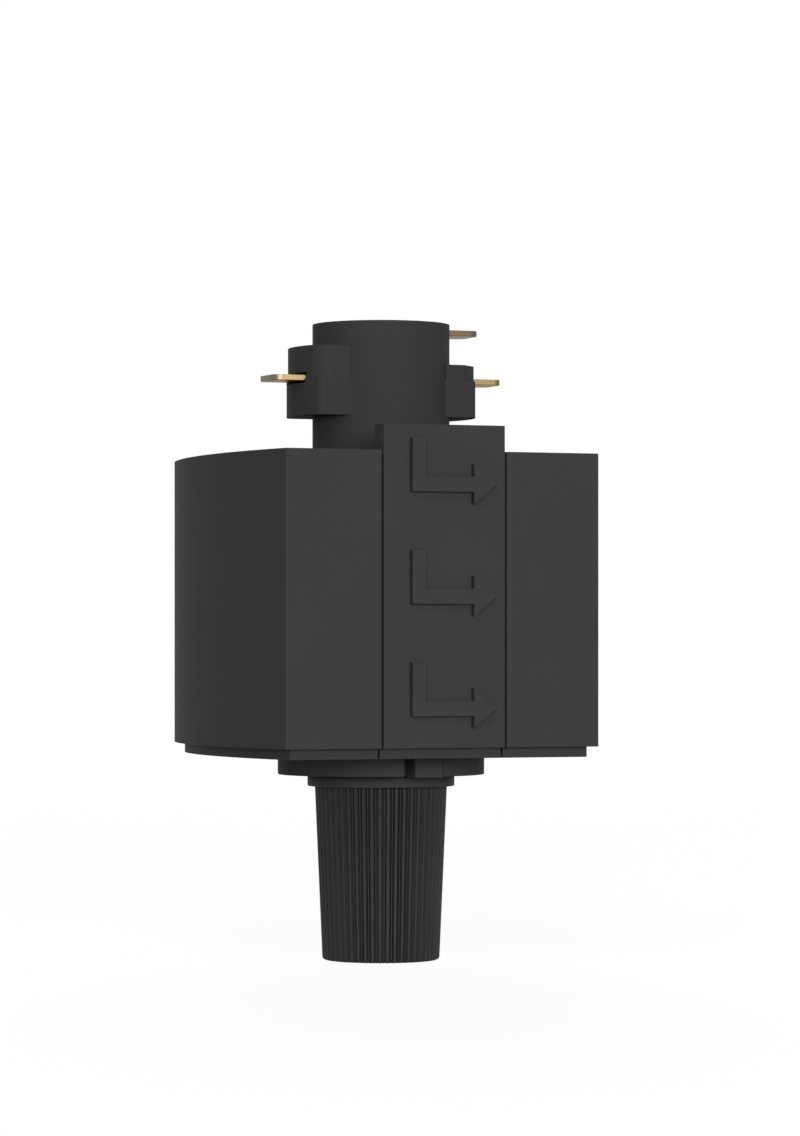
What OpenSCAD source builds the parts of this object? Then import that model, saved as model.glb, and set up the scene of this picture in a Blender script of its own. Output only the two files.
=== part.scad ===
// Twist-in track connector for a pendant lamp, in millimetres.
// Z points up along the cord, and Z = 0 is the face that meets the track.
// X runs across the front, and the front faces -Y.

/* [Housing] */
// Width of the flat front and back faces
front_w = 35; // [33:0.5:40]
// Depth from the front face to the back face
body_d = 35.7; // [35:0.1:42]
// Height of the housing walls
body_h = 30.8; // [30:0.2:40]
// Bulge of each curved side beyond the flat width
side_bulge = 2.35; // [1.5:0.05:4]
// Thickness of the housing walls
wall = 1.8; // [1.4:0.1:2.2]
// Thickness of the deck on top
deck_t = 2; // [1.6:0.1:3]

/* [Base plate] */
// Step of the base plate's edge inside the housing outline
rim_inset = 1.1; // [0.6:0.1:1.5]
// Height of the edge that shows below the housing
rim_h = 1.1; // [0.8:0.1:2]
// Height of the plug that enters the housing
plug_h = 1.5; // [1:0.1:2.5]
// Width of the key block that stops the gland turning
key_w = 3.2; // [2:0.1:4.5]
// Left side of the key block, from the middle
key_x = -0.4; // [-2:0.1:0.5]
// Distance of the key block's front face from the axis
key_reach = 10.7; // [9.8:0.1:11.5]
// Depth of the key block from front to back
key_depth = 2.5; // [1.5:0.1:2.6]
// Height of the key block below the plate
key_h = 2.2; // [1.5:0.1:2.6]

/* [Latch] */
// Width of the latch panel
latch_w = 13.6; // [12:0.2:15]
// Thickness of the latch panel
latch_t = 2.6; // [2.2:0.1:3]
// Height of the panel above the track face
latch_rise = 2.7; // [2:0.1:3]
// Travel of the latch when it is pulled down
latch_travel = 2.8; // [2.2:0.1:3]
// Gap on each side of the panel
panel_gap = 0.2; // [0.1:0.05:0.4]
// Overlap of the guide plate behind the front wall, each side
guide_lap = 1.8; // [1.4:0.1:2.4]
// Thickness of the guide plate
guide_t = 1.6; // [1.2:0.1:2]
// Depth of the shelf under which the spring sits
shelf_d = 5; // [4.6:0.1:5.4]
// Thickness of the shelf
shelf_t = 2; // [1.5:0.1:3]
// Height of the spring's seat under the shelf, from the track face
shelf_z = -14; // [-16:0.5:-12]

/* [Arrows] */
// Number of arrows on the latch
arrow_count = 3; // [1:1:3]
// Height of the first arrow's shaft, from the track face
arrow_z = -3.45; // [-4:0.05:-3]
// Distance from one arrow to the next
arrow_pitch = 11.6; // [10:0.1:12.4]
// Height of the raised arrows
arrow_relief = 0.5; // [0.2:0.1:0.8]
// Width of the arrow's bars
arrow_bar = 1.5; // [1:0.1:2]
// Length of the upright bar
arrow_up = 5.6; // [4:0.1:6]
// Left edge of the upright bar
arrow_left = -3.7; // [-4.5:0.1:-3]
// Place of the arrowhead's base
arrow_neck = 3.2; // [2:0.1:4]
// Length of the arrowhead
arrow_head = 2.6; // [1.5:0.1:2.6]
// Width of the arrowhead
arrow_head_w = 4.2; // [3:0.1:5]

/* [Turret] */
// Diameter of the turret
turret_d = 14.5; // [14:0.1:16]
// Height of the turret above the track face
turret_h = 14.25; // [14.2:0.05:16]
// Diameter across the lower halves of the lugs
lug_d = 20.3; // [18:0.1:22]
// Step from the lower to the upper half of a lug at its end
lug_inset = 0.15; // [0:0.05:0.4]
// Width of each lug from front to back
lug_w = 10.1; // [9:0.1:11]
// Height of the lugs' underside, where the track's lips go
lug_low = 4.25; // [4:0.05:5]
// Height of the joint between the halves of a lug
lug_split = 8.15; // [7.8:0.05:8.4]
// Top of the left lug
left_top = 11.65; // [10.5:0.05:12.2]
// Top of the right lug
right_top = 9.85; // [9.7:0.05:11]
// Length of the cut on the right lug's front corner, along its face
corner_cut = 1.05; // [0.4:0.05:2]
// Radius of the left lug's upper outer corners
left_round = 2.2; // [1:0.1:3]
// Thickness of the lid in the turret's top
lid_t = 0.4; // [0.3:0.05:0.5]

/* [Contacts] */
// Thickness of the contact strips
strip_t = 0.6; // [0.4:0.05:0.7]
// Width of the contact blades
blade_w = 4.8; // [4:0.1:5.4]
// Width of the strips inside the turret
strip_w = 4; // [3:0.1:4.2]
// Reach of the line and neutral blades from the axis
blade_reach = 13.2; // [11.5:0.1:14.5]
// Reach of the earth blade from the axis
earth_reach = 10.5; // [9:0.1:12]
// Height of the earth blade's underside
earth_z = 13.15; // [12.7:0.05:13.15]
// Corner radius at the blade tips
blade_corner = 1; // [0.4:0.1:1.4]
// Room above and below a blade in its slot
blade_room = 0.25; // [0.15:0.05:0.3]

/* [Terminals] */
// Distance from one terminal to the next
terminal_pitch = 6.2; // [5.8:0.1:6.4]
// Width of a terminal
terminal_w = 4.2; // [3.8:0.1:4.4]
// Depth of a terminal from front to back
terminal_d = 4.5; // [4.2:0.1:4.6]
// Height of a terminal
terminal_h = 7; // [6:0.1:8]
// Diameter of the wire hole in a terminal
wire_d = 2.6; // [2:0.1:2.8]
// Diameter of the clamp screws
clamp_d = 2.4; // [2:0.1:2.6]

/* [Cord grip] */
// Diameter of the gland's flange disc
flange_d = 22.2; // [20:0.2:24]
// Thickness of the flange disc
flange_t = 2.1; // [1.6:0.1:2.2]
// Width of the open gap beside the key block
key_gap = 1.3; // [0.5:0.1:2]
// Diameter of the gland's spigot above the flange
upper_d = 12; // [11:0.2:12.4]
// Diameter of the thread that the cap screws on
thread_d = 10.4; // [10:0.1:10.6]
// Length of thread still engaged after the last turn
thread_left = 2; // [1:0.1:3]
// Distance the cap moves in one turn
thread_pitch = 1.5; // [1.25:0.25:2]
// Turns from tight to the end of the thread
thread_turns = 4; // [3:1:5]
// Diameter of the hole for the cord
cord_d = 6.6; // [5:0.1:6.6]
// Diameter of the seal's pocket in the gland
pocket_d = 8.4; // [8.2:0.1:8.6]
// Depth of the seal's pocket
pocket_h = 5.5; // [5:0.1:6]
// Height of the rubber seal
seal_h = 3; // [2:0.1:3.4]
// Thickness of the thrust washer
washer_t = 0.8; // [0.5:0.1:1]
// Width across the flats of the gland's nut
nut_af = 15; // [14:0.2:15.4]
// Thickness of the gland's nut
nut_t = 3; // [2:0.1:4]

/* [Cap] */
// Diameter of the collar
collar_d = 15.8; // [15:0.1:16.2]
// Height of the collar
collar_h = 1.1; // [0.8:0.1:2]
// Diameter of the grip under the collar
grip_top_d = 14.2; // [13.8:0.1:14.6]
// Diameter of the grip at its lower end
grip_low_d = 12.6; // [12:0.1:13.4]
// Height of the cap with its collar
cap_h = 19.75; // [17:0.05:24]
// Number of ribs round the grip
rib_count = 50; // [36:2:52]
// Depth of the grooves between the ribs
groove_depth = 0.28; // [0.15:0.01:0.35]
// Width of the grooves
groove_w = 0.34; // [0.3:0.02:0.5]
// Turn of the first groove from the right-hand side, in degrees, with the cap tight
groove_turn = -1; // [-3.6:0.2:3.6]
// Chamfer at the cap's lower edge
cap_edge = 0.3; // [0.1:0.05:0.5]
// Gap between the tight cap and the flange
cap_gap = 0.15; // [0.1:0.05:0.3]

/* [Fixings] */
// Diameter of the cover screws
cover_screw_d = 2.5; // [2:0.1:2.6]
// Diameter of the cover screws' heads
cover_head_d = 4.2; // [3.8:0.1:4.4]
// Height of the cover screws' heads
cover_head_h = 1.2; // [0.8:0.1:1.4]
// Length of the cover screws under the head
cover_screw_l = 9; // [6:0.5:14]
// Diameter of the turret screws
turret_screw_d = 2; // [1.6:0.1:2.2]
// Diameter of the turret screws' heads
turret_head_d = 3.6; // [3.2:0.1:3.8]
// Height of the turret screws' heads
turret_head_h = 1.2; // [0.8:0.1:1.6]
// Length of the turret screws under the head
turret_screw_l = 9; // [6:0.5:10]

/* [Fits] */
// Gap at flat faces that slide on each other
slide_gap = 0.15; // [0.1:0.05:0.2]
// Gap round pieces that are seated and do not move
seat_gap = 0.05; // [0.02:0.01:0.1]
// Radial gap at the cap's thread and the thrust washer
run_gap = 0.08; // [0.04:0.01:0.1]

/* [Spring] */
// Outer diameter of the latch spring
spring_d = 4.4; // [4:0.1:4.6]
// Diameter of the spring wire
wire_t = 0.5; // [0.3:0.05:0.6]
// Number of turns
spring_turns = 9; // [6:1:12]
// Diameter of the pegs inside the spring
peg_d = 2.6; // [2:0.1:2.8]
// Height of the pegs
peg_h = 3; // [2:0.5:4]

/* [Hidden] */
$fn = 96;

// Overshoot of a cut past the face it starts from
cut = 1;
// Depth by which a rib or boss is rooted in its wall
root = 0.6;

black = [0.08, 0.08, 0.085];
dark_grey = [0.2, 0.2, 0.21];
pale = [0.82, 0.8, 0.74];
brass = [0.8, 0.65, 0.38];
steel = [0.6, 0.61, 0.63];

// Housing outline: a strip with two arcs for its sides
half_w = front_w / 2;
half_d = body_d / 2;
side_r = (half_d * half_d + side_bulge * side_bulge) / (2 * side_bulge);
side_offset = side_r - half_w - side_bulge;
inner_d = half_d - wall;
inner_w = half_w + side_bulge - wall;

// Levels of the base plate
plate_top = -body_h + plug_h;
plate_low = -body_h - rim_h;

// Screws between base plate and housing, one in each curved side
boss_wall = 1.3;
boss_d = cover_screw_d + 2 * boss_wall;
boss_x = inner_w - boss_d / 2 + root / 2;
head_room = 0.2;
screw_room = 0.15;

// Latch, seen from the front face inwards
latch_half = latch_w / 2;
guide_half = latch_half + guide_lap;
guide_front = inner_d - slide_gap;
guide_back = guide_front - guide_t;
panel_back = half_d - latch_t;
slot_half = latch_half + panel_gap;
slot_back = panel_back - panel_gap;
guide_top = -deck_t - panel_gap;
stop_room = 0.5;
guide_low = plate_top + latch_travel + stop_room;
rail_t = 1.5;
rail_in = guide_half + slide_gap;
lip_t = 1.05;
lip_front = guide_back - slide_gap;
lip_back = lip_front - lip_t;
lip_inset = 0.6;
lip_lap = guide_lap - lip_inset;
rail_room = 1.3;
rail_low = plate_top + rail_room;
shelf_half = 3.5;
shelf_back = guide_back - shelf_d;
spring_y = guide_back - shelf_d / 2;

// Turret cavity and the spigot that locates it in the deck
strip_room = 0.1;
turret_r = turret_d / 2;
cavity_x = 5.2;
cavity_y = 2.9;
spigot_wall = 0.8;
spigot_x = cavity_x + spigot_wall;
spigot_y = cavity_y + spigot_wall;
lid_rim = 0.85;
lid_r = turret_r - lid_rim;
lid_z = turret_h - lid_t;
blade_z = lug_split - strip_t / 3;
slot_low = blade_z - blade_room;
slot_high = blade_z + strip_t + blade_room;
slot_side = 0.35;
slot_y = blade_w / 2 + slot_side;
tenon_y = slot_y - 2 * strip_room;
lug_r = lug_d / 2;
lug_cap_r = lug_r - lug_inset;
tenon_low = slot_high + seat_gap;
tenon_drop = 0.5;
turret_screw_y = (cavity_y + turret_r) / 2;

// Contact core and the strips in it
core_x = cavity_x - 2 * seat_gap;
core_y = cavity_y - 2 * seat_gap;
leg_x = 4;

// Terminal block hung under the deck
block_top = -deck_t;
flange_plate_t = 1.6;
pad_room = 2;
terminal_top = block_top - pad_room;
terminal_low = terminal_top - terminal_h;
pocket_gap = 0.05;
block_wall = 0.8;
block_end = 1.25;
block_low = terminal_low - block_wall;
block_x = terminal_pitch + terminal_w / 2 + pocket_gap + block_end;
block_y = terminal_d / 2 + pocket_gap + block_wall;
block_plate_y = turret_screw_y + turret_head_d / 2;
terminal_roof = 1;
wire_funnel = 0.3;
clamp_drop = 4.5;
clamp_z = terminal_top - clamp_drop;
head_lip = 0.4;
clamp_head_d = clamp_d + 2 * head_lip;
clamp_head_h = 1.2;
clamp_tip = 0.9;

// Gland, seal and cap, from the flange down
flange_low = plate_low - flange_t;
thread_l = thread_pitch * thread_turns + thread_left;
thread_low = flange_low - thread_l;
pocket_top = thread_low + pocket_h;
seal_top = pocket_top - 2 * seat_gap;
seal_low = seal_top - seal_h;
washer_top = seal_low - seat_gap;
washer_low = washer_top - washer_t;
pusher_top = washer_low - seat_gap;
cap_top = flange_low - cap_gap;
cap_low = cap_top - cap_h;
thread_room = 1;
cap_floor = thread_low - thread_room;
cord_r = cord_d / 2;
bore_room = 0.2;
gland_bore = cord_r + bore_room;
seal_grip = 0.3;
seal_r = cord_r - seal_grip;
spigot_past = 0.8;
upper_h = plug_h + rim_h + nut_t + spigot_past;
gasket_gap = 0.4;
gasket_in = upper_d / 2 + gasket_gap;
gasket_w = 1.1;
gasket_out = gasket_in + gasket_w;
gasket_t = 0.8;
notch_back = key_reach - key_depth - slide_gap;
pusher_room = 0.25;
pusher_r = pocket_d / 2 - pusher_room;

// A block with the housing's outline, stepped in by inset, from low to high
module outline_block(inset, low, high) {
    h = high - low;
    intersection() {
        translate([-half_w - side_bulge, -half_d + inset, low])
            cube([2 * (half_w + side_bulge), body_d - 2 * inset, h]);
        translate([side_offset, 0, low]) cylinder(r = side_r - inset, h = h, $fn = 360);
        translate([-side_offset, 0, low]) cylinder(r = side_r - inset, h = h, $fn = 360);
    }
}

// A box given by its low and high corners
module box(low, high) {
    translate(low) cube(high - low);
}

// A cross recess for a driver, cut upwards from z = 0
module cross_recess(d, depth) {
    for (turn = [0, 90])
        rotate([0, 0, turn])
            translate([-d / 2, -d / 10, -cut]) cube([d, d / 5, depth + cut]);
}

// Rail that holds one edge of the latch's guide plate
module latch_rail() {
    box([rail_in, -inner_d - root, rail_low], [rail_in + rail_t, -lip_back, -deck_t + root]);
    box([rail_in - lip_lap, -lip_front, rail_low], [rail_in + root, -lip_back, -deck_t + root]);
}

// Post inside each curved side that takes a cover screw
module screw_boss() {
    translate([boss_x, 0, plate_top])
        cylinder(d = boss_d, h = -deck_t + root - plate_top);
}

module housing() {
    color(black)
    difference() {
        union() {
            difference() {
                outline_block(0, -body_h, 0);
                outline_block(wall, -body_h - cut, -deck_t);
            }
            for (side = [0, 1]) mirror([side, 0, 0]) {
                latch_rail();
                screw_boss();
            }
        }
        box([-slot_half, -half_d - cut, -body_h - cut], [slot_half, -slot_back, cut]);
        box([-spigot_x - seat_gap, -spigot_y - seat_gap, -deck_t - cut],
            [spigot_x + seat_gap, spigot_y + seat_gap, cut]);
        for (side = [-1, 1]) {
            translate([0, side * turret_screw_y, -deck_t - cut])
                cylinder(r = turret_screw_d / 2 + screw_room, h = deck_t + 2 * cut);
            translate([side * boss_x, 0, plate_top - cut])
                cylinder(r = cover_screw_d / 2 + seat_gap, h = cover_screw_l + 2 * cut);
        }
    }
}

module base_plate() {
    color(black)
    difference() {
        union() {
            outline_block(rim_inset, plate_low, -body_h);
            outline_block(wall + slide_gap, -body_h, plate_top);
            box([key_x, -key_reach, plate_low - key_h], [key_x + key_w, key_depth - key_reach, plate_low]);
            translate([0, -spring_y, plate_top]) cylinder(d = peg_d, h = peg_h);
        }
        translate([0, 0, plate_low - cut])
            cylinder(r = upper_d / 2 + seat_gap, h = plate_top - plate_low + 2 * cut);
        box([-slot_half, -half_d - cut, plate_low - cut], [slot_half, -slot_back, plate_top + cut]);
        for (side = [-1, 1]) translate([side * boss_x, 0, plate_low - cut]) {
            cylinder(r = cover_screw_d / 2 + screw_room, h = plate_top - plate_low + 2 * cut);
            cylinder(r = cover_head_d / 2 + screw_room, h = cut + cover_head_h + head_room);
        }
    }
}

// Cheese-head screw that points up, with its head's top face at z = 0
module screw(shaft_d, shaft_l, head_d, head_h) {
    difference() {
        union() {
            cylinder(d = head_d, h = head_h);
            cylinder(d = shaft_d, h = head_h + shaft_l);
        }
        cross_recess(head_d * 0.66, head_h * 0.5);
    }
}

module cover_screws() {
    color(steel)
    for (side = [-1, 1])
        translate([side * boss_x, 0, plate_low + head_room])
            screw(cover_screw_d, cover_screw_l, cover_head_d, cover_head_h);
}

// One arrow: down, then to the right, raised from the latch's face
module arrow() {
    half = arrow_bar / 2;
    rotate([90, 0, 0])
        linear_extrude(height = arrow_relief + root)
            polygon([
                [arrow_left, arrow_up - half],
                [arrow_left, -half],
                [arrow_neck, -half],
                [arrow_neck, -arrow_head_w / 2],
                [arrow_neck + arrow_head, 0],
                [arrow_neck, arrow_head_w / 2],
                [arrow_neck, half],
                [arrow_left + arrow_bar, half],
                [arrow_left + arrow_bar, arrow_up - half]
            ]);
}

module latch() {
    color(black)
    union() {
        box([-latch_half, -half_d, -body_h], [latch_half, -panel_back, latch_rise]);
        box([-latch_half, -half_d + rim_inset, plate_low], [latch_half, -panel_back, -body_h + root]);
        box([-guide_half, -guide_front, guide_low], [guide_half, -guide_back, guide_top]);
        box([-shelf_half, -guide_back - root, shelf_z], [shelf_half, -shelf_back, shelf_z + shelf_t]);
        translate([0, -spring_y, shelf_z - peg_h]) cylinder(d = peg_d, h = peg_h + root);
        for (i = [0 : arrow_count - 1])
            translate([0, -half_d + root, arrow_z - i * arrow_pitch]) arrow();
    }
}

// Points of the spring wire: a ring of points round each place on the helix
spring_sides = 8;
spring_steps = 16;
spring_low = plate_top + wire_t / 2;
spring_high = shelf_z - wire_t / 2;
spring_mean = (spring_d - wire_t) / 2;
spring_rings = spring_turns * spring_steps;
spring_points = [
    for (i = [0 : spring_rings], k = [0 : spring_sides - 1])
        let (
            turn = i * 360 / spring_steps,
            side = k * 360 / spring_sides,
            r = spring_mean + wire_t / 2 * cos(side)
        )
        [
            r * cos(turn),
            r * sin(turn),
            spring_low + (spring_high - spring_low) * i / spring_rings + wire_t / 2 * sin(side)
        ]
];
spring_faces = concat(
    [
        for (i = [0 : spring_rings - 1], k = [0 : spring_sides - 1])
            let (a = i * spring_sides, b = a + spring_sides, next = (k + 1) % spring_sides)
            [a + k, a + next, b + next, b + k]
    ],
    [[for (k = [spring_sides - 1 : -1 : 0]) k]],
    [[for (k = [0 : spring_sides - 1]) spring_rings * spring_sides + k]]
);

module latch_spring() {
    color(steel)
    translate([0, -spring_y, 0])
        polyhedron(points = spring_points, faces = spring_faces, convexity = 10);
}

// Half of a lug between two heights, as far out as radius r
module lug_slab(side, r, low, high) {
    intersection() {
        translate([0, 0, low]) cylinder(r = r, h = high - low);
        translate([side > 0 ? 0 : -r, -lug_w / 2, low]) cube([r, lug_w, high - low]);
    }
}

// Room for one blade and the tenon above it, through the turret's wall
module lug_window(side, top) {
    mirror([side > 0 ? 0 : 1, 0, 0]) {
        box([cavity_x - cut, -slot_y, slot_low], [lug_r + cut, slot_y, slot_high]);
        box([cavity_x - cut, -slot_y, slot_low], [turret_r + seat_gap, slot_y, top - tenon_drop + seat_gap]);
    }
}

module turret() {
    color(black)
    difference() {
        union() {
            cylinder(r = turret_r, h = turret_h);
            box([-spigot_x, -spigot_y, -deck_t], [spigot_x, spigot_y, root]);
            lug_slab(-1, lug_r, lug_low, lug_split);
            lug_slab(1, lug_r, lug_low, lug_split);
        }
        box([-cavity_x, -cavity_y, -deck_t - cut], [cavity_x, cavity_y, turret_h + cut]);
        translate([0, 0, lid_z]) cylinder(r = lid_r + seat_gap, h = lid_t + cut);
        lug_window(-1, left_top);
        lug_window(1, right_top);
        box([cavity_x - cut, -slot_y, earth_z - blade_room], [turret_r + cut, slot_y, earth_z + strip_t + blade_room]);
        for (side = [-1, 1])
            translate([0, side * turret_screw_y, -cut])
                cylinder(r = turret_screw_d / 2 + seat_gap, h = turret_screw_l - flange_plate_t - deck_t + 2 * cut);
    }
}

// What the rounding of radius r takes off a lug's upper outer corner
module corner_rounding(r, top) {
    y = lug_w / 2 - r;
    x = sqrt((lug_cap_r - r) * (lug_cap_r - r) - y * y);
    difference() {
        translate([0, 0, lug_split - cut])
            linear_extrude(height = top - lug_split + 2 * cut)
                polygon([[x, y], [2 * x, 2 * y], [2 * x, 2 * y + lug_w], [x, y + lug_w]]);
        translate([x, y, lug_split - 2 * cut]) cylinder(r = r, h = top - lug_split + 4 * cut);
    }
}

// Upper half of a lug with the tenon that holds it in the turret's wall
module lug_cap(top, corner) {
    difference() {
        union() {
            difference() {
                lug_slab(1, lug_cap_r, lug_split, top);
                translate([0, 0, lug_split - cut])
                    cylinder(r = turret_r + seat_gap, h = top - lug_split + 2 * cut);
            }
            box([cavity_x + seat_gap, -tenon_y, tenon_low], [turret_r + root, tenon_y, top - tenon_drop]);
        }
        box([0, -slot_y, lug_split - cut], [lug_r + cut, slot_y, slot_high]);
        if (corner > 0)
            translate([sqrt(lug_cap_r * lug_cap_r - lug_w * lug_w / 4), -lug_w / 2, 0])
                rotate([0, 0, 45])
                    box([-lug_w, -lug_w, lug_split - cut], [lug_w, corner / sqrt(2), top + cut]);
    }
}

module left_lug_cap() {
    color(black)
    mirror([1, 0, 0])
        difference() {
            lug_cap(left_top, 0);
            for (side = [0, 1]) mirror([0, side, 0]) corner_rounding(left_round, left_top);
        }
}

module right_lug_cap() {
    color(black) lug_cap(right_top, corner_cut);
}

module turret_lid() {
    color(black) translate([0, 0, lid_z]) cylinder(r = lid_r, h = lid_t);
}

module turret_screws() {
    color(steel)
    for (side = [-1, 1])
        translate([0, side * turret_screw_y, block_top - flange_plate_t - turret_head_h])
            screw(turret_screw_d, turret_screw_l, turret_head_d, turret_head_h);
}

module contact_core() {
    color(pale)
    difference() {
        box([-core_x, -core_y, -deck_t], [core_x, core_y, earth_z]);
        for (side = [0, 1]) mirror([side, 0, 0]) {
            box([leg_x - strip_room, -strip_w / 2 - strip_room, -deck_t - cut],
                [core_x + cut, strip_w / 2 + strip_room, blade_z + strip_t + strip_room]);
            box([leg_x - strip_room, -core_y - cut, blade_z - strip_room],
                [core_x + cut, core_y + cut, blade_z + strip_t + strip_room]);
        }
        box([-strip_t / 2 - strip_room, -strip_w / 2 - strip_room, -deck_t - cut],
            [strip_t / 2 + strip_room, strip_w / 2 + strip_room, earth_z + cut]);
    }
}

// Flat blade along +X with two rounded corners at its tip
module blade(start, reach, low) {
    half = blade_w / 2;
    box([start, -half, low], [reach - blade_corner, half, low + strip_t]);
    box([start, -half + blade_corner, low], [reach, half - blade_corner, low + strip_t]);
    for (side = [-1, 1])
        translate([reach - blade_corner, side * (half - blade_corner), low])
            cylinder(r = blade_corner, h = strip_t);
}

// Strip from a blade down to the pad on its terminal, drawn for the right side
module side_contact() {
    blade(leg_x, blade_reach, blade_z);
    box([leg_x, -strip_w / 2, terminal_top], [leg_x + strip_t, strip_w / 2, blade_z + strip_t]);
    box([leg_x, -strip_w / 2, terminal_top],
        [terminal_pitch + terminal_w / 2, strip_w / 2, terminal_top + strip_t]);
}

module line_contact() {
    color(brass) mirror([1, 0, 0]) side_contact();
}

module neutral_contact() {
    color(brass) side_contact();
}

module earth_contact() {
    color(brass) {
        blade(-strip_t / 2, earth_reach, earth_z);
        box([-strip_t / 2, -strip_w / 2, terminal_top], [strip_t / 2, strip_w / 2, earth_z + strip_t]);
        box([-strip_t / 2, -strip_w / 2, terminal_top],
            [terminal_w / 2, strip_w / 2, terminal_top + strip_t]);
    }
}

module terminal_block() {
    color(pale)
    difference() {
        union() {
            box([-block_x, -block_y, block_low], [block_x, block_y, block_top]);
            box([-block_x, -block_plate_y, block_top - flange_plate_t], [block_x, block_plate_y, block_top]);
        }
        for (i = [-1 : 1]) {
            box([i * terminal_pitch - terminal_w / 2 - pocket_gap, -terminal_d / 2 - pocket_gap, terminal_low],
                [i * terminal_pitch + terminal_w / 2 + pocket_gap, terminal_d / 2 + pocket_gap, block_top + cut]);
            translate([i * terminal_pitch, 0, block_low - cut])
                cylinder(r = wire_d / 2 + wire_funnel, h = block_wall + 2 * cut);
            translate([i * terminal_pitch, 0, clamp_z])
                rotate([-90, 0, 0]) cylinder(r = clamp_head_d / 2 + screw_room, h = block_y + cut);
        }
        box([-terminal_pitch - terminal_w / 2 - pocket_gap, -terminal_d / 2 - pocket_gap, terminal_top],
            [terminal_pitch + terminal_w / 2 + pocket_gap, terminal_d / 2 + pocket_gap, block_top + cut]);
        for (side = [-1, 1])
            translate([0, side * turret_screw_y, block_top - flange_plate_t - cut])
                cylinder(r = turret_screw_d / 2 + screw_room, h = flange_plate_t + 2 * cut);
    }
}

// Wire clamp: a brass block with an upright wire hole and a clamp screw's hole
module terminal(i) {
    color(brass)
    translate([i * terminal_pitch, 0, 0])
        difference() {
            box([-terminal_w / 2, -terminal_d / 2, terminal_low], [terminal_w / 2, terminal_d / 2, terminal_top]);
            translate([0, 0, terminal_low - cut]) cylinder(d = wire_d, h = terminal_h - terminal_roof + cut);
            translate([0, 0, clamp_z])
                rotate([-90, 0, 0]) cylinder(r = clamp_d / 2 + seat_gap, h = terminal_d);
        }
}

module line_terminal() { terminal(-1); }
module earth_terminal() { terminal(0); }
module neutral_terminal() { terminal(1); }

module terminal_screws() {
    color(steel)
    for (i = [-1 : 1])
        translate([i * terminal_pitch, terminal_d / 2 + pocket_gap + clamp_head_h, clamp_z])
            rotate([90, 0, 0])
                screw(clamp_d, terminal_d / 2 + pocket_gap - clamp_tip, clamp_head_d, clamp_head_h);
}

module gland_body() {
    color(black)
    difference() {
        union() {
            translate([0, 0, plate_low]) cylinder(d = upper_d, h = upper_h);
            translate([0, 0, flange_low]) cylinder(d = flange_d, h = flange_t);
            translate([0, 0, thread_low]) cylinder(d = thread_d, h = thread_l + root);
        }
        translate([0, 0, thread_low - cut])
            cylinder(r = gland_bore, h = thread_l + flange_t + upper_h + 2 * cut);
        translate([0, 0, thread_low - cut]) cylinder(d = pocket_d, h = pocket_h + cut);
        box([key_x - key_gap, -flange_d, flange_low - cut],
            [key_x + key_w + seat_gap, -notch_back, plate_low + cut]);
        translate([0, 0, plate_low - gasket_t]) difference() {
            cylinder(r = gasket_out + seat_gap, h = gasket_t + seat_gap);
            translate([0, 0, -cut]) cylinder(r = gasket_in - seat_gap, h = gasket_t + 2 * cut);
        }
    }
}

// Ring between two radii and two heights
module ring(r_in, r_out, low, high) {
    difference() {
        translate([0, 0, low]) cylinder(r = r_out, h = high - low);
        translate([0, 0, low - cut]) cylinder(r = r_in, h = high - low + 2 * cut);
    }
}

module gland_gasket() {
    color(dark_grey) ring(gasket_in, gasket_out, plate_low - gasket_t, plate_low);
}

module gland_nut() {
    color(steel)
    difference() {
        translate([0, 0, plate_top])
            cylinder(r = nut_af / 2 / cos(30), h = nut_t, $fn = 6);
        translate([0, 0, plate_top - cut])
            cylinder(r = upper_d / 2 + seat_gap, h = nut_t + 2 * cut);
    }
}

module cord_seal() {
    color(dark_grey) ring(seal_r, pocket_d / 2 - 2 * seat_gap, seal_low, seal_top);
}

module thrust_washer() {
    color(steel) ring(cord_r, pocket_d / 2 - run_gap, washer_low, washer_top);
}

// The cap without its grooves: collar, tapered grip, thread bore and pusher tube
module cap_form() {
    collar_low = cap_top - collar_h;
    rotate_extrude()
        polygon([
            [thread_d / 2 + run_gap, cap_top],
            [collar_d / 2, cap_top],
            [collar_d / 2, collar_low],
            [grip_top_d / 2, collar_low],
            [grip_low_d / 2, cap_low + cap_edge],
            [grip_low_d / 2 - cap_edge, cap_low],
            [cord_r + cap_edge, cap_low],
            [cord_r, cap_low + cap_edge],
            [cord_r, pusher_top],
            [pusher_r, pusher_top],
            [pusher_r, cap_floor],
            [thread_d / 2 + run_gap, cap_floor]
        ]);
}

module cord_cap() {
    grip_h = cap_h - collar_h;
    taper = atan((grip_top_d - grip_low_d) / 2 / grip_h);
    color(black)
    difference() {
        cap_form();
        for (i = [0 : rib_count - 1])
            rotate([0, 0, groove_turn + i * 360 / rib_count])
                translate([grip_top_d / 2 - groove_depth, 0, cap_top - collar_h])
                    rotate([0, taper, 0])
                        translate([0, -groove_w / 2, -grip_h - cut])
                            cube([2 * groove_depth + cut, groove_w, grip_h + cut]);
    }
}

housing();
base_plate();
cover_screws();
latch();
latch_spring();
turret();
left_lug_cap();
right_lug_cap();
turret_lid();
turret_screws();
contact_core();
line_contact();
neutral_contact();
earth_contact();
terminal_block();
line_terminal();
neutral_terminal();
earth_terminal();
terminal_screws();
gland_body();
gland_gasket();
gland_nut();
cord_seal();
thrust_washer();
cord_cap();
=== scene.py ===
import math

import bmesh
import bpy
from mathutils import Matrix, Vector


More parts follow.
